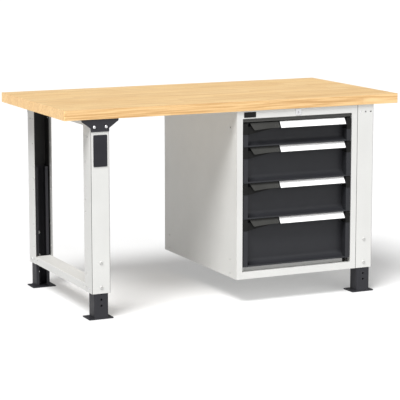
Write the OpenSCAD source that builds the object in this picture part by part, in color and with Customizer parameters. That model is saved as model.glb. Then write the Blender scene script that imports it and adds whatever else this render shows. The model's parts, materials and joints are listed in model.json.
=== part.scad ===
// Steel workbench with a beech top and a hanging cabinet of four drawers.
// +Z is up, +X runs along the worktop and the drawers open towards -Y.
// The origin lies on the floor under the middle of the worktop.

/* [Worktop] */
// Length of the worktop
top_l = 1507; // [1480:1:1700]
// Depth of the worktop
top_d = 750; // [744:1:800]
// Thickness of the worktop
top_t = 40; // [35:1:50]
// Height of the working surface above the floor
top_h = 845; // [845:25:920]

/* [Leg frames] */
// Side of a leg's square section
leg_w = 80; // [76:1:84]
// Sheet thickness of the legs and rails
leg_t = 2; // [1.5:0.5:2.5]
// Height of a leg
leg_h = 700; // [700:10:720]
// Distance from the middle of the bench to the centre line of a leg
leg_cx = 602; // [602:1:620]
// Distance from the front faces to the rear faces of the legs
frame_d = 735; // [735:1:740]
// Height of a side rail
rail_h = 31; // [28:1:40]

/* [Feet] */
// Width of the sliding foot inside the leg
foot_w = 60; // [56:1:62]
// Depth of the sliding foot
foot_d = 56; // [50:1:57]
// Height of the foot column
foot_h = 524; // [400:1:540]
// Length of the base plate along the worktop
plate_l = 104; // [90:1:110]
// Depth of the base plate
plate_d = 78; // [70:1:80]

/* [Cabinet] */
// Width of the cabinet
cab_w = 564; // [564:1:566]
// Depth of the cabinet
cab_d = 725; // [725:1:727]
// Height of the cabinet
cab_h = 700; // [700:1:702]
// Sheet thickness of the cabinet
cab_t = 1.5; // [1:0.5:1.5]
// Width of the front stiles beside the drawers
stile = 26.5; // [26:0.5:27]
// Height of the front rail below the drawers
sill = 30; // [28:1:40]
// Height of the front rail above the drawers
head = 33; // [30:1:33]

/* [Drawers] */
// How far a drawer opens
travel = 600; // [400:10:600]
// Depth of a drawer tray outside
tray_d = 614; // [600:1:616]
// Depth of the recess between the front's side strips
recess = 38; // [34:1:40]
// Width of the side strips
strip_w = 20; // [18:1:21]
// Width of the white label
label_w = 306; // [280:1:306]

/* [Hidden] */
$fn = 48;
drawer_heights = [100, 150, 150, 200];
frame_top = top_h - top_t;
screw_r = 2.2;
screw_l = 25;
screw_clear_r = 2.8;
rail_screw_ys = [-240, 0, 240];
ear_screw = [60, 20];
deck_screw = [190, 200];
leg_z = frame_top - leg_h;
frame_y = frame_d / 2;
front_y = -frame_y;
leg_r = 6;

foot_t = 3;
foot_r = 5;
foot_lip = 13;
plate_t = 4;
foot_pitch = 25;
foot_hole_r = 4.3;
foot_bolt_zs = [leg_z + 25, leg_z + 125];

rail_w = leg_w - 2 * leg_t;
rail_gap = 6;
rail_len = frame_d - 2 * rail_gap;
rail_bolt_z = 17;
rail_bolt_zs = [leg_z + rail_bolt_z, frame_top - rail_bolt_z];
bolt_y = 35;
m6_r = 3.3;
grid_y = 62;
grid_r = 3.5;
grid_zs = [leg_z + 18, leg_z + 75, leg_z + 173, leg_z + 323, leg_z + 373, leg_z + 423,
    leg_z + 523, leg_z + 628];

gusset_t = 3;
gusset_top = 156;
gusset_h = 50;
gusset_screw_x = 25;
gusset_screw_z = frame_top - 31;
ear_d = 38;

cover_w = 58;
cover_h = 126;
cover_z = leg_z + 574;

cab_right = leg_cx - leg_w / 2;
cab_left = cab_right - cab_w;
cab_cx = cab_right - cab_w / 2;
cab_z = frame_top - cab_h;
cab_back = front_y + cab_d;
open_x0 = cab_left + stile;
open_w = cab_w - 2 * stile;
open_z0 = cab_z + sill;
open_z1 = frame_top - head;
lip_d = 26;
upstand = 16;
post_x = cab_left + 28;
post_d = 46;
post_ys = [front_y + 40, cab_back - 75];
vent_ys = [-122, 105];
vent_r = 2.5;
side_hole_zs = [cab_z + 18, cab_z + 75, cab_z + 628];
cab_bolt_zs = [leg_z + 75, leg_z + 628];
cab_bolt_ys = [front_y + grid_y, -front_y - grid_y];

first_drawer_z = cab_z + 49;
drawer_x0 = open_x0 + 4;
drawer_w = open_w - 8;
inner_x0 = drawer_x0 + strip_w;
inner_w = drawer_w - 2 * strip_w;
front_lip = 6;
cap_h = 48;
face_top = 12;
face_slope = 16 / 26;
face_angle = atan(26 / 16);
label_t = 1.2;
handle_t = 2;
latch_t = 2.5;
latch_x0 = inner_x0 + 13;
latch_x1 = inner_x0 + 147;
tray_x0 = inner_x0 + 1;
tray_w = inner_w - 2;
tray_t = 1;
tray_lift = 8;
tray_drop = 12;
runner_z = 30;
runner_h = 45;
fixed_runner_w = 8.5;
tray_runner_w = 9.5;
runner_gap = 3;
runner_y0 = front_y + recess + 3.5;
runner_len = travel + 12;

lock_x = cab_cx;
lock_z = frame_top - 16.5;
lock_r = 7;
key_w = 1.8;
lock_proud = 3.5;
cam_y = 23;
cam_t = 3;
pin_reach = 8;
pin_r = 1.8;
bar_t = 2.5;
fork_w = 7;
fork_reach = 12;

// Bottom of drawer n's front, with drawer 1 at the top.
function drawer_z(n) = n == 4 ? first_drawer_z : drawer_z(n + 1) + drawer_heights[n];
// Top of drawer n's front.
function drawer_top(n) = drawer_z(n) + drawer_heights[n - 1];
// Depth of the sloping handle face at height w below the drawer's top, off behind the surface.
function face_y(w, off) = face_top + w * face_slope + off / sin(face_angle);

// ---------- helpers ----------

// Channel section: the closed side lies on y = 0 and the open side faces +y.
module channel(w, d, t, r) {
    difference() {
        channel_outline(w, d, r);
        translate([0, t]) channel_outline(w - 2 * t, d, max(r - t, 0.5));
    }
}

module channel_outline(w, d, r) {
    translate([-w / 2, r]) square([w, d - r]);
    translate([r - w / 2, 0]) square([w - 2 * r, 2 * r]);
    for (side = [-1, 1]) translate([side * (w / 2 - r), r]) circle(r);
}

module rounded_rect(w, h, r) {
    translate([-w / 2 + r, -h / 2]) square([w - 2 * r, h]);
    translate([-w / 2, -h / 2 + r]) square([w, h - 2 * r]);
    for (x = [-1, 1], y = [-1, 1]) translate([x * (w / 2 - r), y * (h / 2 - r)]) circle(r);
}

// A 2D outline in X and Z, pulled forwards (towards -Y) by depth.
module upright(depth) {
    rotate([90, 0, 0]) linear_extrude(depth) children();
}

// A 2D outline in Y and Z, pulled along +X by width.
module sideways(width) {
    rotate([90, 0, 90]) linear_extrude(width) children();
}

module rod_y(length, r) {
    rotate([-90, 0, 0]) cylinder(h = length, r = r);
}

module rod_x(length, r) {
    rotate([0, 90, 0]) cylinder(h = length, r = r);
}

// A leg's own frame: x = 0 on its centre line, y = 0 on its outer face, +y into the bench.
module corner(side, end) {
    translate([side * leg_cx, end * frame_y, 0]) mirror([0, end > 0 ? 1 : 0, 0]) children();
}

module both_cabinet_sides() {
    children();
    translate([2 * cab_cx, 0, 0]) mirror([1, 0, 0]) children();
}

// Bolt along +y whose domed head bulges towards -y from y = 0.
module domed_bolt(head_r, head_h, shank_r, length) {
    ball = (head_r * head_r + head_h * head_h) / (2 * head_h);
    rotate([90, 0, 0]) rotate_extrude() {
        intersection() {
            translate([0, head_h - ball]) circle(ball);
            square([head_r, head_h]);
        }
        translate([0, -length]) square([shank_r, length + head_h / 2]);
    }
}

module nut(r, h, bore) {
    rotate([-90, 0, 0]) difference() {
        cylinder(h = h, r = r, $fn = 6);
        translate([0, 0, -1]) cylinder(h = h + 2, r = bore);
    }
}

// ---------- worktop ----------

module worktop() {
    color("burlywood") difference() {
        translate([0, 0, frame_top]) linear_extrude(top_t) rounded_rect(top_l, top_d, 3);
        at_worktop_screws(0) translate([0, 0, -1]) cylinder(h = screw_l + 4, r = screw_r + 0.3);
    }
}

// Places every screw into the worktop; the children start from the underside of the worktop.
module at_worktop_screws(sheet) {
    for (side = [-1, 1], y = rail_screw_ys) {
        translate([side * leg_cx, y, frame_top - sheet * leg_t]) children();
    }
    for (end = [-1, 1], x = [-ear_screw.x, ear_screw.x]) {
        corner(-1, end) translate([x, ear_screw.y, frame_top - sheet * gusset_t]) children();
    }
    for (x = [-deck_screw.x, deck_screw.x], y = [-deck_screw.y, deck_screw.y]) {
        translate([cab_cx + x, y, frame_top - sheet * cab_t]) children();
    }
}

module worktop_screws() {
    color("silver") at_worktop_screws(1) {
        translate([0, 0, -3]) cylinder(h = 3, r1 = 3.5, r2 = 5.5);
        cylinder(h = screw_l, r = screw_r);
    }
}

// ---------- leg frames ----------

module leg(side, end, has_cover) {
    color("gainsboro") corner(side, end) difference() {
        translate([0, 0, leg_z]) linear_extrude(leg_h) channel(leg_w, leg_w, leg_t, leg_r);
        for (z = foot_bolt_zs) translate([0, -1, z]) rod_y(leg_t + 2, foot_hole_r);
        for (x = [-gusset_screw_x, 0, gusset_screw_x]) {
            translate([x, -1, gusset_screw_z]) rod_y(leg_t + 2, m6_r);
        }
        for (z = grid_zs) translate([-leg_w, grid_y, z]) rod_x(2 * leg_w, grid_r);
        translate([-leg_w, bolt_y, cab_bolt_zs[1]]) rod_x(2 * leg_w, grid_r);
        for (z = rail_bolt_zs) translate([-leg_w, bolt_y, z]) rod_x(2 * leg_w, m6_r);
        if (has_cover) {
            translate([0, leg_t + 1, cover_z]) upright(leg_t + 2) rounded_rect(cover_w - 8, cover_h - 8, 3);
        }
    }
}

module foot(side, end) {
    color([0.22, 0.22, 0.24]) corner(side, end) {
        difference() {
            translate([0, leg_t, plate_t / 2]) linear_extrude(foot_h - plate_t / 2) {
                channel(foot_w, foot_d, foot_t, foot_r);
                for (x = [-foot_w / 2, foot_w / 2 - foot_lip]) {
                    translate([x, foot_d - foot_t]) square([foot_lip, foot_t]);
                }
            }
            for (z = [leg_z - 2 * foot_pitch : foot_pitch : foot_h - 10]) {
                translate([0, -1, z]) rod_y(leg_t + foot_t + 2, foot_hole_r);
            }
        }
        translate([0, plate_d / 2, 0]) linear_extrude(plate_t) rounded_rect(plate_l, plate_d, 4);
    }
}

// Inverted channel between a front and a rear leg, with its flat side at height z.
module rail(side, z, clears_feet) {
    notch_y = frame_y - leg_t - foot_d - 2;
    bolt_z = rail_bolt_zs[clears_feet ? 0 : 1];
    color("gainsboro") translate([side * leg_cx, 0, 0]) difference() {
        translate([0, rail_len / 2, z]) upright(rail_len)
            mirror([0, 1]) channel(rail_w, rail_h, leg_t, 3);
        for (end = [-1, 1]) {
            translate([-leg_w, end * (frame_y - bolt_y), bolt_z]) rod_x(2 * leg_w, m6_r);
            translate([-leg_w, end * (frame_y - 95), bolt_z]) rod_x(2 * leg_w, grid_r);
            if (clears_feet) {
                translate([-leg_w, end * (frame_y - grid_y), leg_z + 18]) rod_x(2 * leg_w, grid_r);
                translate([-foot_w / 2 - 3, end > 0 ? notch_y : -frame_y, z - leg_t - 3])
                    cube([foot_w + 6, frame_y - notch_y, leg_t + 4]);
            }
        }
        for (y = rail_screw_ys) translate([0, y, z - leg_t - 1]) cylinder(h = leg_t + 2, r = screw_clear_r);
    }
}

// Angle bracket screwed to a leg's outer face, with two ears under the worktop.
module gusset(side, end) {
    half = gusset_top / 2;
    foot_half = leg_w / 2 - 2;
    color([0.2, 0.2, 0.22]) corner(side, end) difference() {
        union() {
            translate([0, 0, frame_top]) upright(gusset_t) polygon([
                [-half, 0], [half, 0], [half, -8], [foot_half, -37],
                [foot_half, -gusset_h], [-foot_half, -gusset_h], [-foot_half, -37], [-half, -8]
            ]);
            for (x = [-half, leg_w / 2 + 1]) {
                translate([x, -gusset_t, frame_top - gusset_t])
                    cube([half - leg_w / 2 - 1, ear_d + gusset_t, gusset_t]);
            }
        }
        for (x = [-gusset_screw_x, gusset_screw_x]) {
            translate([x, -gusset_t - 1, gusset_screw_z]) rod_y(gusset_t + 2, m6_r);
        }
        for (x = [-ear_screw.x, ear_screw.x]) {
            translate([x, ear_screw.y, frame_top - gusset_t - 1])
                cylinder(h = gusset_t + 2, r = screw_clear_r);
        }
    }
}

// Push-in plastic cover over the cable opening of a leg.
module leg_cover() {
    color([0.2, 0.2, 0.22]) corner(-1, -1) translate([0, 0, cover_z]) {
        upright(2.5) rounded_rect(cover_w, cover_h, 4);
        translate([0, 8, 0]) difference() {
            upright(9) rounded_rect(cover_w - 8.6, cover_h - 8.6, 2.7);
            translate([0, 1, 0]) upright(9) rounded_rect(cover_w - 12.6, cover_h - 12.6, 1);
        }
    }
}

module foot_bolts() {
    color("silver") for (side = [-1, 1], end = [-1, 1], z = foot_bolt_zs) {
        corner(side, end) translate([0, 0, z]) {
            domed_bolt(7.8, 4, 4, 14);
            translate([0, leg_t + foot_t, 0]) nut(7.4, 6.5, 4.1);
        }
    }
}

// One M6 bolt along +x: its head ends on x = 0 and its nut sits behind a grip of sheet.
module frame_bolt(grip) {
    rotate([0, 0, -90]) {
        domed_bolt(5.4, 3, 3, grip + 5.5);
        translate([0, grip, 0]) nut(5.5, 4.5, 3.1);
    }
}

module frame_bolts() {
    color("silver") {
        for (side = [-1, 1], end = [-1, 1], z = rail_bolt_zs) {
            corner(side, end) translate([side * leg_w / 2, bolt_y, z])
                mirror([side > 0 ? 1 : 0, 0, 0]) frame_bolt(2 * leg_t);
        }
        for (end = [-1, 1], z = rail_bolt_zs) {
            corner(-1, end) translate([leg_w / 2, bolt_y, z]) mirror([1, 0, 0]) frame_bolt(2 * leg_t);
        }
        for (y = cab_bolt_ys, z = cab_bolt_zs) {
            translate([cab_right - cab_t, y, z]) frame_bolt(cab_t + leg_t);
        }
    }
}

module gusset_screws() {
    color("white") for (end = [-1, 1], x = [-gusset_screw_x, gusset_screw_x]) {
        corner(-1, end) translate([x, -gusset_t, gusset_screw_z]) {
            domed_bolt(7, 4, 3, 11.5);
            translate([0, gusset_t + leg_t, 0]) nut(5.5, 5, 3.1);
        }
    }
}

// ---------- cabinet shell ----------

// Left side sheet with its two slotted uprights; the right side is its mirror image.
module cabinet_side() {
    difference() {
        union() {
            translate([cab_left, front_y + cab_t, cab_z]) cube([cab_t, cab_d - cab_t, cab_h]);
            for (y = post_ys) translate([cab_left + cab_t, y, cab_z + 25]) post();
        }
        for (y = cab_bolt_ys, z = side_hole_zs) translate([cab_left - 1, y, z]) rod_x(cab_t + 2, m6_r);
        for (y = vent_ys) translate([cab_left - 1, y, cab_z + 25]) rod_x(cab_t + 2, vent_r);
    }
}

// Upright of channel section, slotted for the runners, open towards the side sheet.
module post() {
    width = post_x - cab_left - cab_t;
    height = cab_h - 50;
    difference() {
        cube([width, post_d, height]);
        translate([-1, cab_t, -1]) cube([width + 1 - cab_t, post_d - 2 * cab_t, height + 2]);
        for (z = [25 : 50 : height - 20]) translate([width - 5, post_d / 2 - 3, z]) cube([10, 6, 14]);
    }
}

module cabinet_left_side() {
    color("gainsboro") cabinet_side();
}

module cabinet_right_side() {
    color("gainsboro") translate([2 * cab_cx, 0, 0]) mirror([1, 0, 0]) cabinet_side();
}

module cabinet_back() {
    inner = cab_w - 2 * cab_t;
    color("gainsboro") translate([cab_left + cab_t, cab_back - cab_t, cab_z]) {
        cube([inner, cab_t, cab_h]);
        for (x = [0, inner - cab_t]) translate([x, -15, 15]) cube([cab_t, 15, cab_h - 30]);
    }
}

// Flat sheet with a folded edge along both sides; fold is +1 upwards or -1 downwards.
module cabinet_deck(z, fold) {
    inner = cab_w - 2 * cab_t;
    translate([cab_left + cab_t, front_y + cab_t, z]) {
        cube([inner, cab_d - 2 * cab_t, cab_t]);
        for (x = [0, inner - cab_t]) {
            translate([x, lip_d + 2, fold > 0 ? cab_t : -10]) cube([cab_t, cab_d - 50, 10]);
        }
    }
}

module cabinet_top() {
    color("gainsboro") difference() {
        cabinet_deck(frame_top - cab_t, -1);
        at_worktop_screws(0) translate([0, 0, -3]) cylinder(h = 5, r = screw_clear_r);
    }
}

module cabinet_bottom() {
    color("gainsboro") cabinet_deck(cab_z, 1);
}

// Front face of the cabinet, folded back all round the opening and up again along the sill.
module front_frame() {
    open_h = open_z1 - open_z0;
    color("gainsboro") difference() {
        union() {
            translate([cab_left, front_y, cab_z]) cube([cab_w, cab_t, cab_h]);
            translate([open_x0 - cab_t, front_y, open_z0 - cab_t])
                cube([open_w + 2 * cab_t, lip_d, open_h + 2 * cab_t]);
        }
        translate([open_x0, front_y - 1, open_z0]) cube([open_w, lip_d + 2, open_h]);
        translate([lock_x, front_y - 1, lock_z]) rod_y(cab_t + 2, lock_r + 2.5);
    }
    color("gainsboro") translate([open_x0, front_y + lip_d - cab_t, open_z0 - cab_t])
        cube([open_w - strip_w - 4, cab_t, upstand + cab_t]);
}

// Dark angle strip that closes the gap above the top drawer.
module top_trim() {
    color([0.33, 0.33, 0.32]) translate([open_x0, front_y + 6.5, open_z1 - 15]) {
        cube([open_w, cab_t, 15]);
        translate([0, cab_t, 15 - cab_t]) cube([open_w, 16, cab_t]);
    }
}

// Blank plate on the front, without any marking.
module name_plate() {
    color([0.1, 0.1, 0.1]) translate([open_x0 + 32, front_y, frame_top - 17])
        upright(1.5) rounded_rect(54, 22, 1.5);
}

// ---------- central lock ----------

module lock_housing() {
    color("silver") translate([lock_x, front_y, lock_z]) difference() {
        union() {
            upright(2.5) rounded_rect(26, 25, 6);
            rod_y(22, lock_r + 2.2);
        }
        translate([0, -3, 0]) rod_y(26, lock_r + 0.1);
    }
}

// Barrel with a keyway, and a cam whose drive pin hangs below the axis at rest.
module lock_cylinder() {
    color("dimgray") translate([lock_x, front_y, lock_z]) {
        difference() {
            translate([0, -lock_proud, 0]) rod_y(lock_proud + cam_y + 0.5, lock_r);
            translate([-key_w / 2, -4, -4.5]) cube([key_w, 8, 9]);
        }
        translate([-5, cam_y, -pin_reach - 5]) cube([10, cam_t, pin_reach + 10]);
        translate([0, cam_y + cam_t - 0.5, -pin_reach]) rod_y(bar_t + 3, pin_r);
    }
}

// Bar behind the left stile with a catch for each drawer, and an arm whose fork holds the cam's pin.
module locking_bar() {
    bar_x = cab_left + 6;
    bar_w = 8;
    arm_h = 4;
    arm_z = open_z1 + 2;
    fork_h = lock_z - arm_z - arm_h + 4;
    color("silver") translate([0, front_y + lip_d + 2, 0]) {
        translate([bar_x, 0, cab_z + 55]) cube([bar_w, bar_t, arm_z + arm_h - cab_z - 55]);
        translate([bar_x, 0, arm_z]) cube([lock_x + fork_reach - bar_x, bar_t, arm_h]);
        for (x = [lock_x - fork_reach, lock_x + fork_reach - fork_w]) {
            translate([x, 0, arm_z + arm_h - 1]) cube([fork_w, bar_t, fork_h + 1]);
        }
        for (n = [1 : 4]) {
            translate([bar_x + bar_w - 1, 0, drawer_top(n) - 60]) cube([7, bar_t, 12]);
        }
    }
}

// ---------- drawer runners ----------

// Hollow channel along Y: closed on its x = 0 side, open towards +x.
module runner_channel(depth, length) {
    difference() {
        cube([depth, length, runner_h]);
        translate([cab_t, -1, cab_t]) cube([depth, length + 2, runner_h - 2 * cab_t]);
    }
}

module cabinet_runners() {
    color("silver") for (n = [1 : 4]) {
        both_cabinet_sides() translate([post_x, runner_y0, drawer_z(n) + runner_z])
            runner_channel(fixed_runner_w, runner_len);
    }
}

// Middle members of a drawer's telescopic runners, which move half as far as the drawer.
module middle_runners(n) {
    width = tray_x0 - post_x - 2 * runner_gap - 1;
    height = runner_h - 2 * runner_gap;
    color("silver") both_cabinet_sides()
        translate([post_x + runner_gap, runner_y0, drawer_z(n) + runner_z + runner_gap]) difference() {
            cube([width, runner_len, height]);
            translate([cab_t, -1, cab_t]) cube([width - 2 * cab_t, runner_len + 2, height - 2 * cab_t]);
        }
}

// ---------- drawers ----------

// Open sheet tray with a runner channel welded on each side.
module drawer_tray(n) {
    z = drawer_z(n) + tray_lift;
    height = drawer_heights[n - 1] - tray_lift - tray_drop;
    color("lightgray") {
        translate([tray_x0, front_y + recess, z]) difference() {
            cube([tray_w, tray_d, height]);
            translate([tray_t, tray_t, tray_t])
                cube([tray_w - 2 * tray_t, tray_d - 2 * tray_t, height]);
        }
        both_cabinet_sides() translate([tray_x0, runner_y0, drawer_z(n) + runner_z])
            mirror([1, 0, 0]) runner_channel(tray_runner_w, runner_len - 4);
    }
}

// Section of the recessed front sheet in Y and Z, curving forwards to a lip folded down.
module front_section(height) {
    bend = 24;
    sheet = 1.2;
    translate([recess - sheet, bend + front_lip]) square([sheet, height - bend - front_lip]);
    translate([recess - sheet - bend, bend + front_lip]) intersection() {
        difference() {
            circle(bend + sheet);
            circle(bend);
        }
        translate([0, -2 * bend]) square([2 * bend, 2 * bend]);
    }
    translate([2, front_lip - sheet]) square([recess - sheet - bend - 2, sheet]);
    translate([2, 0]) square([sheet, front_lip]);
}

module drawer_front(n) {
    z = drawer_z(n) + 1;
    height = drawer_heights[n - 1] - 2;
    strip_h = height - cap_h + 0.5;
    color([0.25, 0.25, 0.27]) {
        translate([inner_x0 - 0.5, front_y, z]) sideways(inner_w + 1) front_section(height - 2);
        for (x = [drawer_x0, drawer_x0 + drawer_w - strip_w]) {
            translate([x, front_y, z]) difference() {
                cube([strip_w, recess, strip_h]);
                translate([1.2, 1.2, -1]) cube([strip_w - 2.4, recess, strip_h + 2]);
            }
        }
    }
}

// Puts a plate drawn in X and up the slope onto the handle's sloping face.
module on_face(n) {
    translate([0, front_y + face_top, drawer_top(n)]) rotate([face_angle, 0, 0]) children();
}

// Pull handle of bent sheet: top flange, sloping face and a lip below, cut away for the latch.
module drawer_handle(n) {
    flange_w = latch_x1 - inner_x0 + 2;
    color([0.22, 0.22, 0.23]) translate([inner_x0, front_y, drawer_top(n)]) {
        translate([flange_w, 0, 0]) sideways(inner_w - flange_w) polygon([
            [recess - 1.2, -0.8], [face_y(-0.8, label_t), -0.8], [face_y(-27, label_t), -27],
            [-4.6, -27.6], [-4.6, -29.4], [6, -29.4], [6, -27.6],
            [face_y(-27.6, label_t + handle_t), -27.6],
            [face_y(-2.8, label_t + handle_t), -2.8], [recess - 1.2, -2.8]
        ]);
        translate([0, 17, -2.8]) cube([flange_w + 1, recess - 18.2, 2]);
    }
}

module drawer_label(n) {
    color("white") on_face(n) translate([inner_x0 + inner_w - label_w - 6, -31, -label_t])
        cube([label_w, 30.5, label_t]);
}

// Plastic caps over the side strips; the left one runs on as a web under the latch.
module drawer_end_caps(n) {
    drop = 24;
    web_end = latch_x1 - 9;
    web_w = web_end - inner_x0;
    color([0.14, 0.14, 0.14]) translate([0, front_y, drawer_top(n)]) {
        for (x = [drawer_x0, drawer_x0 + drawer_w - strip_w]) {
            translate([x, 0, -cap_h]) difference() {
                cube([strip_w, recess - 1.5, cap_h - 1]);
                translate([2, 2, -1]) cube([strip_w - 4, recess, cap_h - 2]);
            }
        }
        translate([web_end, 15, 0]) upright(3) polygon(concat(
            [[0, -16], [-web_w - 1.5, -16], [-web_w - 1.5, 1 - cap_h], [-web_w, 1 - cap_h]],
            [for (i = [8 : -1 : 0]) [-web_w * i / 8, -27 - drop * pow(i / 8, 1.15)]]
        ));
    }
}

// Spring-loaded thumb latch: a drooping face plate on a pivot roll.
module drawer_latch(n) {
    droop = 6.6;
    length = latch_x1 - latch_x0;
    color([0.35, 0.35, 0.35]) {
        on_face(n) translate([0, 0, -latch_t]) linear_extrude(latch_t) polygon(concat(
            [[latch_x0, -1.5], [latch_x1 - 2, -1.5]],
            [for (i = [0 : 7]) [latch_x1 - i / 8 * (length - 12), -29 - droop * pow(i / 8, 2)]],
            [[latch_x0 + 16, -35.2], [latch_x0 + 12, -31.5]]
        ));
        translate([latch_x0 + 6, front_y + 12, drawer_top(n) - 6.5]) rod_x(length - 12, 2.5);
    }
}

worktop();
leg(-1, -1, true);  // front_left_leg
leg(-1, 1, false);  // rear_left_leg
leg(1, -1, false);  // front_right_leg
leg(1, 1, false);  // rear_right_leg
foot(-1, -1);  // front_left_foot
foot(-1, 1);  // rear_left_foot
foot(1, -1);  // front_right_foot
foot(1, 1);  // rear_right_foot
rail(-1, leg_z + rail_h, true);  // lower_left_rail
rail(-1, frame_top, false);  // upper_left_rail
rail(1, leg_z + rail_h, true);  // lower_right_rail
rail(1, frame_top, false);  // upper_right_rail
gusset(-1, -1);  // front_left_gusset
gusset(-1, 1);  // rear_left_gusset
leg_cover();
foot_bolts();
frame_bolts();
gusset_screws();
worktop_screws();
cabinet_left_side();
cabinet_right_side();
cabinet_back();
cabinet_top();
cabinet_bottom();
front_frame();
top_trim();
name_plate();
lock_housing();
lock_cylinder();
locking_bar();
cabinet_runners();
middle_runners(1);  // drawer_1_runners
middle_runners(2);  // drawer_2_runners
middle_runners(3);  // drawer_3_runners
middle_runners(4);  // drawer_4_runners
drawer_tray(1);  // drawer_1_tray
drawer_tray(2);  // drawer_2_tray
drawer_tray(3);  // drawer_3_tray
drawer_tray(4);  // drawer_4_tray
drawer_front(1);  // drawer_1_front
drawer_front(2);  // drawer_2_front
drawer_front(3);  // drawer_3_front
drawer_front(4);  // drawer_4_front
drawer_handle(1);  // drawer_1_handle
drawer_handle(2);  // drawer_2_handle
drawer_handle(3);  // drawer_3_handle
drawer_handle(4);  // drawer_4_handle
drawer_label(1);  // drawer_1_label
drawer_label(2);  // drawer_2_label
drawer_label(3);  // drawer_3_label
drawer_label(4);  // drawer_4_label
drawer_end_caps(1);  // drawer_1_end_caps
drawer_end_caps(2);  // drawer_2_end_caps
drawer_end_caps(3);  // drawer_3_end_caps
drawer_end_caps(4);  // drawer_4_end_caps
drawer_latch(1);  // drawer_1_latch
drawer_latch(2);  // drawer_2_latch
drawer_latch(3);  // drawer_3_latch
drawer_latch(4);  // drawer_4_latch
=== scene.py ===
"""Looks of the steel workbench with a beech top and four drawers, in metres, in the CAD frame."""
import json
import math

import bmesh
import bpy
from mathutils import Matrix, Vector


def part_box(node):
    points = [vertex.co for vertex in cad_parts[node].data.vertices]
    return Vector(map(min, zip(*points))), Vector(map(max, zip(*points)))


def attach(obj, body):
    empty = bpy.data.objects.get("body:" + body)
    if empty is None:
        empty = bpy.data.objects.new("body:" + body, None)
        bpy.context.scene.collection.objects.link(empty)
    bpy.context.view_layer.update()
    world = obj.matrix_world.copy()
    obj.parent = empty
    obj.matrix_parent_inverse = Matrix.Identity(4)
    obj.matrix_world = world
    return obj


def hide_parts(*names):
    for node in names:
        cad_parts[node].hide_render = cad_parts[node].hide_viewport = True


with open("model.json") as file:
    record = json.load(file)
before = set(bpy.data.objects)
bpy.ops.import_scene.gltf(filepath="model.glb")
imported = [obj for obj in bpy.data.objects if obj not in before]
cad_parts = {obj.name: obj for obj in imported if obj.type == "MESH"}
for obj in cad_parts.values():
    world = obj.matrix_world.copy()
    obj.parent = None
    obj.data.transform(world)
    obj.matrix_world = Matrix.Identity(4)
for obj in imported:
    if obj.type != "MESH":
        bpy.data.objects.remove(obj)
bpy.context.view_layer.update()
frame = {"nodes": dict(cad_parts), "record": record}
MM = 0.001
NODES = frame["nodes"]
BODY_OF = {name: body for body, names in frame["record"]["behaviour"]["bodies"].items() for name in names}
SLOT_OF = {row["node"]: row["material_slot"] for row in frame["record"]["subparts"]}
DRAWERS = range(1, 5)
ALONG_X, ALONG_Y = 0, 1


# ---------- camera, floor and light ----------

# The camera was fitted to the photo's edges with the bench's sizes held. It looks CAMERA_YAW degrees to
# the right of +Y and CAMERA_PITCH degrees down.
CAMERA_PLACE = (-3.1436, -6.6952, 1.6362)
CAMERA_YAW = 25.179
CAMERA_PITCH = 9.611
CAMERA_LENS = 157.447
CAMERA_REACH = 200


def make_camera():
    camera = bpy.data.cameras.new("camera")
    camera.sensor_width = 36
    camera.lens = CAMERA_LENS
    camera.clip_end = CAMERA_REACH
    obj = bpy.data.objects.new("camera", camera)
    bpy.context.scene.collection.objects.link(obj)
    obj.location = CAMERA_PLACE
    obj.rotation_euler = (math.radians(90 - CAMERA_PITCH), 0, math.radians(-CAMERA_YAW))
    bpy.context.scene.camera = obj


def make_sun(name, azimuth, elevation, strength, spread):
    """A wide soft light that shines from the given azimuth (0 is the front, 90 the right) and elevation."""
    light = bpy.data.lights.new(name, "SUN")
    light.energy = strength
    light.angle = math.radians(spread)
    obj = bpy.data.objects.new(name, light)
    bpy.context.scene.collection.objects.link(obj)
    a, e = math.radians(azimuth), math.radians(elevation)
    towards = Vector((math.sin(a) * math.cos(e), -math.cos(a) * math.cos(e), math.sin(e)))
    obj.rotation_euler = towards.to_track_quat("Z", "Y").to_euler()


def make_light():
    scene = bpy.context.scene
    scene.view_settings.view_transform = "Standard"
    scene.view_settings.gamma = 0.87
    scene.world = bpy.data.worlds.new("studio")
    scene.world.use_nodes = True
    background = scene.world.node_tree.nodes["Background"]
    background.inputs["Color"].default_value = (1, 1, 1, 1)
    background.inputs["Strength"].default_value = 0.3
    make_sun("key", azimuth=-50, elevation=56, strength=3.3, spread=26)
    make_sun("front", azimuth=10, elevation=25, strength=0.95, spread=50)


# ---------- shader graphs ----------

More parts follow.
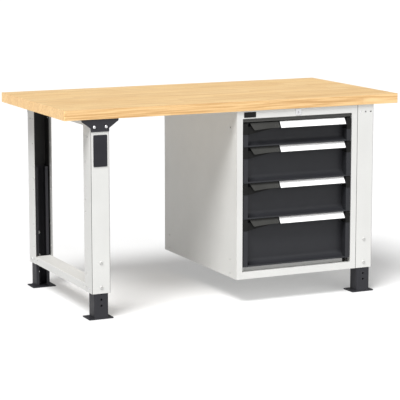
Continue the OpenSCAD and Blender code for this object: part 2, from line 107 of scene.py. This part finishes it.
class Graph:
    """One material, with short calls for the shader nodes that it uses."""

    def __init__(self, name, roughness=0.5, metallic=0.0, specular=0.5):
        self.material = bpy.data.materials.new(name)
        self.material.use_nodes = True
        self.tree = self.material.node_tree
        self.tree.nodes.clear()
        self.shader = self.tree.nodes.new("ShaderNodeBsdfPrincipled")
        output = self.tree.nodes.new("ShaderNodeOutputMaterial")
        self.tree.links.new(self.shader.outputs["BSDF"], output.inputs["Surface"])
        self.shader.inputs["Roughness"].default_value = roughness
        self.shader.inputs["Metallic"].default_value = metallic
        self.shader.inputs["Specular IOR Level"].default_value = specular
        self.place = self.tree.nodes.new("ShaderNodeTexCoord").outputs["Object"]

    def put(self, value, socket):
        """Feeds a socket with another socket or a constant."""
        if isinstance(value, bpy.types.NodeSocket):
            self.tree.links.new(value, socket)
        else:
            socket.default_value = value

    def math(self, operation, *values):
        node = self.tree.nodes.new("ShaderNodeMath")
        node.operation = operation
        for socket, value in zip(node.inputs, values):
            self.put(value, socket)
        return node.outputs[0]

    def product(self, *values):
        """All values multiplied together."""
        total = values[0]
        for value in values[1:]:
            total = self.math("MULTIPLY", total, value)
        return total

    def ramp(self, value, low, high, to_low=0.0, to_high=1.0):
        node = self.tree.nodes.new("ShaderNodeMapRange")
        node.clamp = True
        for socket, setting in zip(node.inputs, (value, low, high, to_low, to_high)):
            self.put(setting, socket)
        return node.outputs[0]

    def mix(self, amount, a, b):
        node = self.tree.nodes.new("ShaderNodeMix")
        node.data_type = "RGBA"
        self.put(amount, node.inputs[0])
        self.put((*a, 1) if isinstance(a, tuple) else a, node.inputs[6])
        self.put((*b, 1) if isinstance(b, tuple) else b, node.inputs[7])
        return node.outputs[2]

    def stretch(self, scale, shift=None):
        """Object coordinates scaled along each axis, and shifted by a socket where one is given."""
        node = self.tree.nodes.new("ShaderNodeVectorMath")
        node.operation = "MULTIPLY_ADD"
        self.put(self.place, node.inputs[0])
        node.inputs[1].default_value = scale
        if shift is not None:
            self.put(shift, node.inputs[2])
        return node.outputs[0]

    def noise(self, scale, detail, vector=None, distortion=0.0):
        node = self.tree.nodes.new("ShaderNodeTexNoise")
        self.put(vector or self.place, node.inputs["Vector"])
        node.inputs["Scale"].default_value = scale
        node.inputs["Detail"].default_value = detail
        node.inputs["Distortion"].default_value = distortion
        return node.outputs["Fac"]

    def random(self, a, b=None):
        """A fixed random number from 0 to 1 for each value of a, or of a and b."""
        node = self.tree.nodes.new("ShaderNodeTexWhiteNoise")
        if b is None:
            node.noise_dimensions = "1D"
            self.put(a, node.inputs["W"])
        else:
            node.noise_dimensions = "2D"
            self.put(self.join(a, b), node.inputs["Vector"])
        return node.outputs["Value"]

    def join(self, *parts):
        """A vector from two or three values."""
        node = self.tree.nodes.new("ShaderNodeCombineXYZ")
        for socket, part in zip(node.inputs, parts):
            self.put(part, socket)
        return node.outputs[0]

    def axes(self, vector=None):
        node = self.tree.nodes.new("ShaderNodeSeparateXYZ")
        self.put(vector or self.place, node.inputs[0])
        return node.outputs

    def normal(self):
        return self.tree.nodes.new("ShaderNodeNewGeometry").outputs["Normal"]

    def edges(self, radius):
        """1 on edges and 0 on flat faces, from how far a bevelled normal leans from the surface's own."""
        flat, edge = 0.995, 0.895
        bevel = self.tree.nodes.new("ShaderNodeBevel")
        bevel.samples = 4
        bevel.inputs["Radius"].default_value = radius
        dot = self.tree.nodes.new("ShaderNodeVectorMath")
        dot.operation = "DOT_PRODUCT"
        self.put(bevel.outputs[0], dot.inputs[0])
        self.put(self.normal(), dot.inputs[1])
        return self.ramp(dot.outputs["Value"], flat, edge)

    def bump(self, height, distance):
        node = self.tree.nodes.new("ShaderNodeBump")
        node.inputs["Strength"].default_value = 1.0
        node.inputs["Distance"].default_value = distance
        self.put(height, node.inputs["Height"])
        self.put(node.outputs[0], self.shader.inputs["Normal"])

    def colour(self, value):
        self.put(value, self.shader.inputs["Base Color"])

    def rough(self, value):
        self.put(value, self.shader.inputs["Roughness"])


def tint(colour, factor):
    """A colour made lighter or darker by a factor."""
    return tuple(min(c * factor, 1.0) for c in colour)


# ---------- materials ----------

def powder_coat(name, colour, edge_wear_and_highlight, roughness, specular, inner=None):
    """Baked powder paint: fine orange peel, faint tone drift, and edges made lighter in patches by the given
    factor: partly worn, partly a painted highlight.

    inner is a darker colour painted on the inside faces of the leg channels: painted shade, standing for the
    shade that falls inside them.
    """
    peel_depth, edge_radius = 0.05 * MM, 0.9 * MM
    g = Graph(name, specular=specular)
    drift = g.ramp(g.noise(5, 3), 0.3, 0.7)
    speckle = g.ramp(g.noise(900, 1), 0.35, 0.65)
    drifted = g.mix(drift, tint(colour, 0.97), tint(colour, 1.03))
    base = g.mix(g.product(speckle, 0.35), drifted, tint(colour, 0.93))
    if inner:
        # Painted shade: the inside faces of the leg channels take the darker inner colour.
        base = g.mix(painted_channel_shade(g), base, inner)
    # Edges lighter in patches: partly worn, partly a painted highlight.
    patchy = g.ramp(g.noise(60, 4), 0.4, 0.65)
    g.colour(g.mix(g.product(g.edges(edge_radius), patchy), base, tint(colour, edge_wear_and_highlight)))
    g.rough(g.ramp(g.noise(35, 3), 0.3, 0.7, roughness - 0.05, roughness + 0.06))
    g.bump(g.math("ADD", g.noise(420, 2), g.product(g.noise(1500, 1), 0.4)), peel_depth)
    return g.material


def painted_channel_shade(g):
    """Painted shade mask: 1 inside a leg channel, fading out towards the free edges of its flanges, which
    stay light.
    """
    fade_start, fade_end = 46 * MM, 64 * MM
    low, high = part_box("front_left_leg")
    x, y, _ = g.axes()
    from_centre = g.math("ABSOLUTE", g.math("ADD", g.math("ABSOLUTE", x), (low.x + high.x) / 2))
    from_face = g.math("SUBTRACT", -low.y, g.math("ABSOLUTE", y))
    half = (high.x - low.x) / 2
    between = g.ramp(from_centre, half - 0.8 * MM, half - 1.2 * MM)
    behind = g.ramp(from_face, 1.0 * MM, 1.4 * MM)
    return g.product(between, behind, g.ramp(from_face, fade_end, fade_start))


def stave_layout(g):
    """How far each point is across and along the glued staves, and two random numbers for its stave."""
    stave_width, shortest, extra = 41.7 * MM, 0.34, 0.22
    x, y, _ = g.axes()
    across = g.math("DIVIDE", y, stave_width)
    row = g.math("FLOOR", across)
    length = g.math("MULTIPLY_ADD", g.random(row), extra, shortest)
    start = g.product(g.random(g.math("ADD", row, 40.5)), 7)
    along = g.math("ADD", g.math("DIVIDE", x, length), start)
    piece = g.math("FLOOR", along)
    first = g.random(row, piece)
    second = g.random(g.math("ADD", row, 17.3), piece)
    return across, along, first, second


def glue_gaps(g, across, along, long_grain):
    """1 in the thin dark lines between staves; the butt joints don't show on the end grain."""
    side = g.math("ABSOLUTE", g.math("SUBTRACT", g.math("FRACT", across), 0.5))
    butt = g.math("ABSOLUTE", g.math("SUBTRACT", g.math("FRACT", along), 0.5))
    return g.math("MAXIMUM", g.ramp(side, 0.488, 0.497), g.product(g.ramp(butt, 0.4985, 0.4995), long_grain))


def beech():
    """Oiled beech staves glued side by side along X, each with its own tone and grain."""
    light, mid, deep = (0.96, 0.73, 0.415), (0.92, 0.655, 0.335), (0.66, 0.39, 0.16)
    upright_tone, underside_tone = (1.0, 0.70, 0.38), (0.62, 0.55, 0.45)
    g = Graph("beech_staves", specular=0.45)
    across, along, first, second = stave_layout(g)

    shift = g.join(g.product(first, 9), g.product(second, 5), g.product(first, 3))
    rings = g.noise(1, 2, g.stretch((1.3, 30, 34), shift), distortion=0.5)
    bands = g.math("PINGPONG", g.product(rings, 11), 1)
    fibre = g.noise(1, 3, g.stretch((14, 420, 420)))
    flecks = g.ramp(g.noise(1, 1, g.stretch((260, 1900, 900))), 0.66, 0.74)
    pores = g.ramp(g.noise(1, 1, g.stretch((90, 2600, 2600))), 0.6, 0.72)
    rays = g.noise(1, 3, g.stretch((60, 300, 1500)))

    facing = g.axes(g.normal())
    end_grain = g.ramp(g.math("ABSOLUTE", facing[0]), 0.7, 0.95)
    long_grain = g.math("SUBTRACT", 1.0, end_grain)
    upright = g.ramp(g.math("ABSOLUTE", facing[2]), 0.8, 0.4)
    below = g.ramp(facing[2], -0.5, -0.9)
    streaky = g.ramp(g.noise(1, 4, g.stretch((4, 110, 190)), distortion=0.3), 0.47, 0.62)
    streaks = g.product(streaky, long_grain)

    tone = g.mix(g.ramp(first, 0.0, 1.0), light, mid)
    tone = g.mix(g.ramp(second, 0.6, 1.0, 0.0, 0.35), tone, deep)
    tone = g.mix(g.product(bands, g.ramp(upright, 0, 1, 0.42, 0.7)), tone, deep)
    tone = g.mix(g.ramp(fibre, 0.35, 0.7, 0.0, 0.3), tone, tint(light, 1.12))
    tone = g.mix(g.product(upright, 0.28), tone, upright_tone)
    tone = g.mix(g.product(streaks, g.ramp(upright, 0, 1, 0.42, 0.8)), tone, tint(deep, 0.92))
    tone = g.mix(g.product(flecks, 0.35), tone, tint(deep, 0.75))
    tone = g.mix(g.product(pores, 0.2), tone, tint(deep, 0.6))
    tone = g.mix(g.product(end_grain, g.ramp(rays, 0.4, 0.62, 0.0, 0.35)), tone, deep)
    tone = g.mix(g.product(below, 0.75), tone, underside_tone)

    gap = glue_gaps(g, across, along, long_grain)
    g.colour(g.mix(g.product(gap, 0.5), tone, tint(deep, 0.6)))
    g.rough(g.math("ADD", g.ramp(fibre, 0.3, 0.7, 0.33, 0.45), g.product(end_grain, 0.12)))
    hollows = g.math("ADD", gap, g.product(pores, 0.4))
    g.bump(g.math("SUBTRACT", g.product(fibre, 0.5), hollows), 0.06 * MM)
    return g.material


def zinc(name, colour, roughness):
    """Bright zinc plating with faint rolled streaks, small tone patches, and a painted highlight along the
    edges.
    """
    g = Graph(name, metallic=1.0)
    streaks = g.noise(1, 3, g.stretch((900, 60, 900)))
    patches = g.ramp(g.noise(45, 3), 0.3, 0.7)
    plated = g.mix(patches, tint(colour, 0.9), colour)
    # Painted highlight: edges a little lighter.
    g.colour(g.mix(g.product(g.edges(0.6 * MM), 0.5), plated, tint(colour, 1.15)))
    dull = g.ramp(patches, 0, 1, roughness, roughness + 0.05)
    g.rough(g.math("ADD", g.ramp(streaks, 0.3, 0.7, -0.05, 0.07), dull))
    g.bump(streaks, 0.02 * MM)
    return g.material


def moulding(name, colour, roughness):
    """Injection moulded plastic with a fine spark-eroded grain, and edges paler in patches: partly worn,
    partly a painted highlight.
    """
    g = Graph(name, specular=0.2)
    grainy = g.noise(1400, 2)
    drift = g.ramp(g.noise(18, 2), 0.35, 0.65)
    base = g.mix(drift, tint(colour, 0.94), tint(colour, 1.06))
    # Edges paler in patches: partly worn, partly a painted highlight.
    rubbed_and_highlit = g.product(g.edges(0.8 * MM), g.ramp(g.noise(80, 3), 0.4, 0.65))
    g.colour(g.mix(rubbed_and_highlit, base, tint(colour, 1.5)))
    g.rough(g.ramp(grainy, 0.3, 0.7, roughness - 0.05, roughness + 0.08))
    g.bump(grainy, 0.06 * MM)
    return g.material


def label_film():
    """White card under a clear film: nearly flat white, glossy, with the faint waves of the film."""
    g = Graph("label_film")
    g.colour(g.mix(g.ramp(g.noise(90, 3), 0.35, 0.65), (0.93, 0.93, 0.925), (0.97, 0.97, 0.965)))
    g.rough(g.ramp(g.noise(60, 2), 0.3, 0.7, 0.2, 0.32))
    g.bump(g.noise(30, 2), 0.1 * MM)
    return g.material


def studio_floor():
    """A white light table: it glows a little, so that the shadows on it stay pale."""
    g = Graph("studio_floor", roughness=0.9, specular=0.0)
    g.colour(g.mix(g.ramp(g.noise(3, 3), 0.3, 0.7), (0.59, 0.59, 0.59), (0.61, 0.61, 0.61)))
    g.shader.inputs["Emission Color"].default_value = (1, 1, 1, 1)
    g.shader.inputs["Emission Strength"].default_value = 0.28
    return g.material


def make_materials():
    """The finish of every slot, and four more: the leg paint with painted shade inside its channels,
    cover_plastic, painted_steel and pip_plastic.
    """
    light_grey = (0.66, 0.66, 0.645)
    # Painted shade for the inside faces of the leg channels.
    painted_shade_grey = (0.032, 0.032, 0.032)
    return {
        "beech": beech(),
        "light_paint": powder_coat("light_grey_powder", light_grey, 1.1, 0.48, 0.35),
        "leg_paint_with_painted_shade": powder_coat("leg_grey_powder_painted_shade", light_grey, 1.1, 0.48, 0.35, inner=painted_shade_grey),
        "dark_paint": powder_coat("anthracite_powder", (0.036, 0.037, 0.042), 1.7, 0.46, 0.35),
        "handle_paint": powder_coat("handle_powder", (0.022, 0.022, 0.025), 1.9, 0.44, 0.4),
        "foot_paint": powder_coat("foot_powder", (0.036, 0.036, 0.042), 1.7, 0.46, 0.35),
        "trim_paint": powder_coat("trim_powder", (0.085, 0.085, 0.08), 1.4, 0.5, 0.3),
        "tray_paint": powder_coat("tray_powder", (0.52, 0.52, 0.51), 1.12, 0.5, 0.35),
        "painted_steel": powder_coat("painted_steel", (0.60, 0.60, 0.585), 1.15, 0.4, 0.4),
        "zinc": zinc("bright_zinc", (0.83, 0.83, 0.84), 0.28),
        "runner_steel": zinc("rolled_zinc", (0.62, 0.63, 0.65), 0.36),
        "cover_plastic": moulding("cover_moulding", (0.036, 0.036, 0.042), 0.5),
        "dark_plastic": moulding("black_moulding", (0.017, 0.017, 0.0165), 0.55),
        "latch_plastic": moulding("grey_moulding", (0.06, 0.06, 0.057), 0.5),
        "pip_plastic": moulding("pip_moulding", (0.13, 0.13, 0.125), 0.45),
        "label_card": label_film(),
    }


def finish_of(node):
    """The finish of a CAD node: its slot's, apart from the legs and the push-in cover."""
    if node == "leg_cover":
        return "cover_plastic"
    return "leg_paint_with_painted_shade" if node.endswith("_leg") else SLOT_OF[node]


def dress_cad(materials):
    """Gives every CAD node its material and small rounded edges."""
    for name in SLOT_OF:
        obj = NODES[name]
        for place in obj.material_slots:
            place.material = materials[finish_of(name)]
        round_edges(obj, 2.2 * MM if name == "worktop" else 0.4 * MM)


def round_edges(obj, width):
    """Merges the flat faces of a mesh and then rounds its edges, without changing the mesh itself."""
    weld = obj.modifiers.new("weld", "WELD")
    weld.merge_threshold = 0.01 * MM
    merge = obj.modifiers.new("merge", "DECIMATE")
    merge.decimate_type = "DISSOLVE"
    merge.angle_limit = math.radians(0.5)
    bevel = obj.modifiers.new("round", "BEVEL")
    bevel.width = width
    bevel.segments = 2
    bevel.limit_method = "ANGLE"
    bevel.angle_limit = math.radians(40)
    bevel.use_clamp_overlap = True
    bevel.harden_normals = True
    flat = obj.modifiers.new("flat", "WEIGHTED_NORMAL")
    flat.mode = "FACE_AREA"
    flat.keep_sharp = True


def make_floor():
    mesh = bpy.data.meshes.new("floor")
    half = 60
    corners = [(-half, -half, 0), (half, -half, 0), (half, half, 0), (-half, half, 0)]
    mesh.from_pydata(corners, [], [(0, 1, 2, 3)])
    mesh.materials.append(studio_floor())
    obj = bpy.data.objects.new("floor", mesh)
    bpy.context.scene.collection.objects.link(obj)


# ---------- pieces that replace or dress the CAD nodes ----------

RING = 24
ROUND, HEXAGON = 0, 6


def ring_points(radius, shape):
    """One closed ring of points: a circle, or a hexagon whose flats are radius away from the centre."""
    points = []
    for i in range(RING):
        angle = 2 * math.pi * i / RING
        reach = radius
        if shape == HEXAGON:
            reach = radius / math.cos(angle % (math.pi / 3) - math.pi / 6)
        points.append((reach * math.cos(angle), reach * math.sin(angle)))
    return points


def loft(bm, place, rings, closed=False):
    """Skins a stack of (radius, height, shape) rings; closed joins the last ring to the first."""
    loops = [[bm.verts.new(place @ Vector((x, y, height))) for x, y in ring_points(radius, shape)]
             for radius, height, shape in rings]
    pairs = list(zip(loops, loops[1:]))
    if closed:
        pairs.append((loops[-1], loops[0]))
    for low, high in pairs:
        for i in range(RING):
            j = (i + 1) % RING
            bm.faces.new((low[i], low[j], high[j], high[i]))
    if not closed:
        bm.faces.new(reversed(loops[0]))
        bm.faces.new(loops[-1])


def socket_bolt(bm, place, head, tall, shank, length):
    """Button head with a hexagon socket, on a shank that runs down from height 0."""
    socket = 0.36 * head
    lead_in = 0.4 * MM
    loft(bm, place, [
        (shank - lead_in, -length, ROUND),
        (shank, lead_in - length, ROUND),
        (shank, 0, ROUND),
        (head - lead_in / 2, 0, ROUND),
        (head, 0.12 * tall, ROUND),
        (0.96 * head, 0.38 * tall, ROUND),
        (0.83 * head, 0.72 * tall, ROUND),
        (0.66 * head, 0.93 * tall, ROUND),
        (0.5 * head, tall, ROUND),
        (socket + 0.2 * MM, tall, HEXAGON),
        (socket, 0.93 * tall, HEXAGON),
        (socket, 0.3 * tall, HEXAGON)])


def hex_nut(bm, place, flat, low, high, bore):
    """Hexagon nut between two heights, with chamfered corners and a countersunk bore."""
    edge = 0.5 * MM
    loft(bm, place, [
        (bore + edge, low, ROUND),
        (flat - edge, low, ROUND),
        (flat, low + edge, HEXAGON),
        (flat, high - edge, HEXAGON),
        (flat - edge, high, ROUND),
        (bore + edge, high, ROUND),
        (bore, high - edge, ROUND),
        (bore, low + edge, ROUND)], closed=True)


def islands(obj):
    """The lowest and highest corners of each separate solid in a node."""
    bm = bmesh.new()
    bm.from_mesh(obj.data)
    bmesh.ops.remove_doubles(bm, verts=bm.verts, dist=0.01 * MM)
    left = set(bm.verts)
    boxes = []
    while left:
        group, edge = set(), [left.pop()]
        while edge:
            vert = edge.pop()
            group.add(vert)
            near = [e.other_vert(vert) for e in vert.link_edges]
            edge += [v for v in near if v in left]
            left.difference_update(near)
        low = Vector([min(v.co[k] for v in group) for k in range(3)])
        high = Vector([max(v.co[k] for v in group) for k in range(3)])
        boxes.append((low, high))
    bm.free()
    return sorted(boxes, key=lambda box: tuple(round(c, 4) for c in box[0]))


def new_piece(name, bm, material, body, smooth=35):
    """Turns a bmesh into a piece that rides on a body and takes the given material."""
    bmesh.ops.recalc_face_normals(bm, faces=bm.faces)
    mesh = bpy.data.meshes.new(name)
    bm.to_mesh(mesh)
    bm.free()
    mesh.materials.append(material)
    mesh.shade_smooth()
    mesh.set_sharp_from_angle(angle=math.radians(smooth))
    obj = bpy.data.objects.new(name, mesh)
    bpy.context.scene.collection.objects.link(obj)
    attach(obj, body)
    return obj


def make_fasteners(node, name, axis, material, head, tall, shank, flat, bore):
    """Socket-head bolts and hexagon nuts where a node has plain ones.

    head, shank and bore are radii, flat is half a nut's width, and tall is the height of a bolt's head.
    """
    shortest_bolt = tall + 5 * MM
    bm = bmesh.new()
    for low, high in islands(NODES[node]):
        middle = (low + high) / 2
        length = (high - low)[axis]
        out = outward(axis, middle)
        top = high[axis] if out > 0 else low[axis]
        direction = Vector((0, 0, 0))
        direction[axis] = out
        foot = middle.copy()
        foot[axis] = top - out * (tall if length > shortest_bolt else length)
        place = Matrix.Translation(foot) @ direction.to_track_quat("Z", "Y").to_matrix().to_4x4()
        if length > shortest_bolt:
            socket_bolt(bm, place, head, tall, shank, length - tall)
        else:
            hex_nut(bm, place, flat, 0, length, bore)
    piece = new_piece(name, bm, material, BODY_OF[node])
    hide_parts(node)


def outward(axis, middle):
    """Which way along its axis a fastener's head or nut looks: away from the bench's or the leg's middle."""
    if axis == ALONG_Y:
        return 1 if middle.y > 0 else -1
    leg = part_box("front_right_leg") if middle.x > 0 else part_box("front_left_leg")
    centre = (leg[0].x + leg[1].x) / 2
    return 1 if middle.x > centre else -1


def weld_beads(material):
    """A rippled fillet weld around the foot of each column, where it stands on its base plate."""
    plate_top, inset, depth, half_width = 4 * MM, 2 * MM, 58 * MM, 30 * MM
    bm = bmesh.new()
    for end in ("front", "rear"):
        for side in ("left", "right"):
            low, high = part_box(f"{end}_{side}_foot")
            middle = (low.x + high.x) / 2
            face = low.y if end == "front" else high.y
            into = 1 if end == "front" else -1
            left, right = middle - half_width, middle + half_width
            near, far = face + into * inset, face + into * depth
            corners = ((left, far), (left, near), (right, near), (right, far))
            bead_along(bm, [Vector((x, y, plate_top)) for x, y in corners], 2.2 * MM, 3.2 * MM)
    foot = "front_left_foot"
    new_piece("foot_welds", bm, material, BODY_OF[foot], smooth=60)


def bead_along(bm, route, radius, pitch):
    """A closed round bead along straight legs, swelling a little about once every pitch."""
    sides = 8
    steps_per_swell = 3
    points = []
    for a, b in zip(route, route[1:]):
        steps = max(2, round((b - a).length / (pitch / steps_per_swell)))
        points += [a.lerp(b, i / steps) for i in range(steps)]
    points.append(route[-1])
    loops = []
    for i, point in enumerate(points):
        ahead = (points[min(i + 1, len(points) - 1)] - points[max(i - 1, 0)]).normalized()
        side = ahead.cross(Vector((0, 0, 1))).normalized()
        size = radius * (0.82 + 0.18 * math.cos(2 * math.pi * i / steps_per_swell))
        loop = []
        for k in range(sides):
            angle = 2 * math.pi * k / sides
            rim = side * math.cos(angle) + Vector((0, 0, 1)) * math.sin(angle)
            loop.append(bm.verts.new(point + size * rim))
        loops.append(loop)
    for low, high in zip(loops, loops[1:]):
        for k in range(sides):
            m = (k + 1) % sides
            bm.faces.new((low[k], low[m], high[m], high[k]))
    bm.faces.new(loops[0])
    bm.faces.new(reversed(loops[-1]))


def slotted_sheet(bm, start, along, length, height, slot, pitch, margin):
    """An upright sheet from start, with one tall slot every pitch; a slot width of 0 leaves it plain."""
    count = int((length - 2 * margin) / pitch) if slot else 0
    first = (length - (count - 1) * pitch) / 2
    cuts = [0.0]
    for i in range(count):
        cuts += [first + i * pitch - slot / 2, first + i * pitch + slot / 2]
    cuts.append(length)
    levels = [0.0, margin, height - margin, height]
    grid = [[bm.verts.new(start + along * u + Vector((0, 0, v))) for v in levels] for u in cuts]
    for i in range(len(cuts) - 1):
        for j in range(len(levels) - 1):
            open_slot = j == 1 and i % 2 == 1
            if open_slot:
                continue
            bm.faces.new((grid[i][j], grid[i + 1][j], grid[i + 1][j + 1], grid[i][j + 1]))


def bar_along_y(bm, outline, start, end):
    """A closed outline in X and Z, pulled from one Y to another."""
    near = [bm.verts.new((x, start, z)) for x, z in outline]
    far = [bm.verts.new((x, end, z)) for x, z in outline]
    for i in range(len(outline)):
        j = (i + 1) % len(outline)
        bm.faces.new((near[i], near[j], far[j], far[i]))
    bm.faces.new(reversed(near))
    bm.faces.new(far)


CHANNEL_W, CHANNEL_T, CHANNEL_H = 9.5 * MM, 1.5 * MM, 45 * MM


def make_tray(n, material):
    """Slotted drawer tray of 1 mm sheet, which stands between the runner channels and is open at the top."""
    slot_w, slot_pitch, margin = 2.4 * MM, 17 * MM, 10 * MM
    node = f"drawer_{n}_tray"
    low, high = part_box(node)
    half = 0.5 * MM
    x0, x1 = low.x + CHANNEL_W + half, high.x - CHANNEL_W - half
    y0, y1 = low.y + half, high.y - half
    height = high.z - low.z
    bm = bmesh.new()
    to_right, to_back = Vector((1, 0, 0)), Vector((0, 1, 0))
    walls = (
        (x0, y0, to_back, y1 - y0, slot_w),
        (x1, y0, to_back, y1 - y0, slot_w),
        (x0, y1, to_right, x1 - x0, slot_w),
        (x0, y0, to_right, x1 - x0, 0))
    for x, y, along, length, slot in walls:
        slotted_sheet(bm, Vector((x, y, low.z)), along, length, height, slot, slot_pitch, margin)
    corners = ((x0, y0), (x1, y0), (x1, y1), (x0, y1))
    bm.faces.new([bm.verts.new((x, y, low.z + half)) for x, y in corners])
    tray = new_piece(f"drawer_{n}_slotted_tray", bm, material, BODY_OF[node])
    sheet = tray.modifiers.new("sheet", "SOLIDIFY")
    sheet.thickness = 2 * half
    sheet.offset = 0
    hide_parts(node)


def make_tray_rims(n, material):
    """The hem along the top of a tray's side walls, and the channel outside each that the runner holds."""
    node = f"drawer_{n}_tray"
    low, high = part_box(node)
    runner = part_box(f"drawer_{n}_runners")
    hem_w, hem_h = 2.6 * MM, 5 * MM
    runner_end_gap = 4 * MM
    z0 = (runner[0].z + runner[1].z - CHANNEL_H) / 2
    z1 = z0 + CHANNEL_H
    bm = bmesh.new()
    for wall, out in ((low.x + CHANNEL_W, -1), (high.x - CHANNEL_W, 1)):
        tip = wall + out * CHANNEL_W
        web = wall + out * CHANNEL_T
        channel = [(wall, z0), (tip, z0), (tip, z0 + CHANNEL_T), (web, z0 + CHANNEL_T),
                   (web, z1 - CHANNEL_T), (tip, z1 - CHANNEL_T), (tip, z1), (wall, z1)]
        bar_along_y(bm, channel, runner[0].y, runner[1].y - runner_end_gap)
        inner = wall - out * hem_w
        hem = [(wall, high.z - hem_h), (wall, high.z), (inner, high.z), (inner, high.z - hem_h)]
        bar_along_y(bm, hem, low.y, high.y)
    rims = new_piece(f"drawer_{n}_tray_rims", bm, material, BODY_OF[node])
    round_edges(rims, 0.5 * MM)


def make_latch_pips(n, material):
    """A ring of small domed grip pips on the front face of a thumb latch."""
    ring, pip, tall, sunk, dots = 7.5 * MM, 0.9 * MM, 0.7 * MM, 0.3 * MM, 10
    from_right, from_top = 13 * MM, 17 * MM
    node = f"drawer_{n}_latch"
    obj = NODES[node]
    face = max((f for f in obj.data.polygons if f.normal.y < -0.3), key=lambda f: f.area)
    out = face.normal.normalized()
    across = Vector((1, 0, 0))
    down = across.cross(out)
    if down.z > 0:
        down.negate()
    plane = out.dot(obj.data.vertices[face.vertices[0]].co)
    _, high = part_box(node)
    centre = Vector((high.x - from_right, 0, high.z - from_top))
    centre.y = (plane - out.z * centre.z) / out.y
    bm = bmesh.new()
    for i in range(dots):
        angle = 2 * math.pi * i / dots
        spot = centre + ring * (across * math.cos(angle) + down * math.sin(angle))
        place = Matrix.Translation(spot) @ out.to_track_quat("Z", "Y").to_matrix().to_4x4()
        loft(bm, place, [
            (pip, -sunk, ROUND),
            (pip, 0.2 * tall, ROUND),
            (0.8 * pip, 0.7 * tall, ROUND),
            (0.4 * pip, tall, ROUND)])
    new_piece(f"latch_{n}_pips", bm, material, BODY_OF[node])


# ---------- the scene ----------

make_camera()
make_light()
make_floor()
finishes = make_materials()
dress_cad(finishes)
make_fasteners("foot_bolts", "foot_bolt_set", ALONG_Y, finishes["painted_steel"],
               head=7.8 * MM, tall=4 * MM, shank=4 * MM, flat=6.4 * MM, bore=4.1 * MM)
make_fasteners("gusset_screws", "gusset_screw_set", ALONG_Y, finishes["zinc"],
               head=7 * MM, tall=4 * MM, shank=3 * MM, flat=4.8 * MM, bore=3.1 * MM)
make_fasteners("frame_bolts", "frame_bolt_set", ALONG_X, finishes["zinc"],
               head=5.4 * MM, tall=3 * MM, shank=3 * MM, flat=4.8 * MM, bore=3.1 * MM)
weld_beads(finishes["foot_paint"])
for number in DRAWERS:
    make_tray(number, finishes["tray_paint"])
    make_tray_rims(number, finishes["runner_steel"])
    make_latch_pips(number, finishes["pip_plastic"])
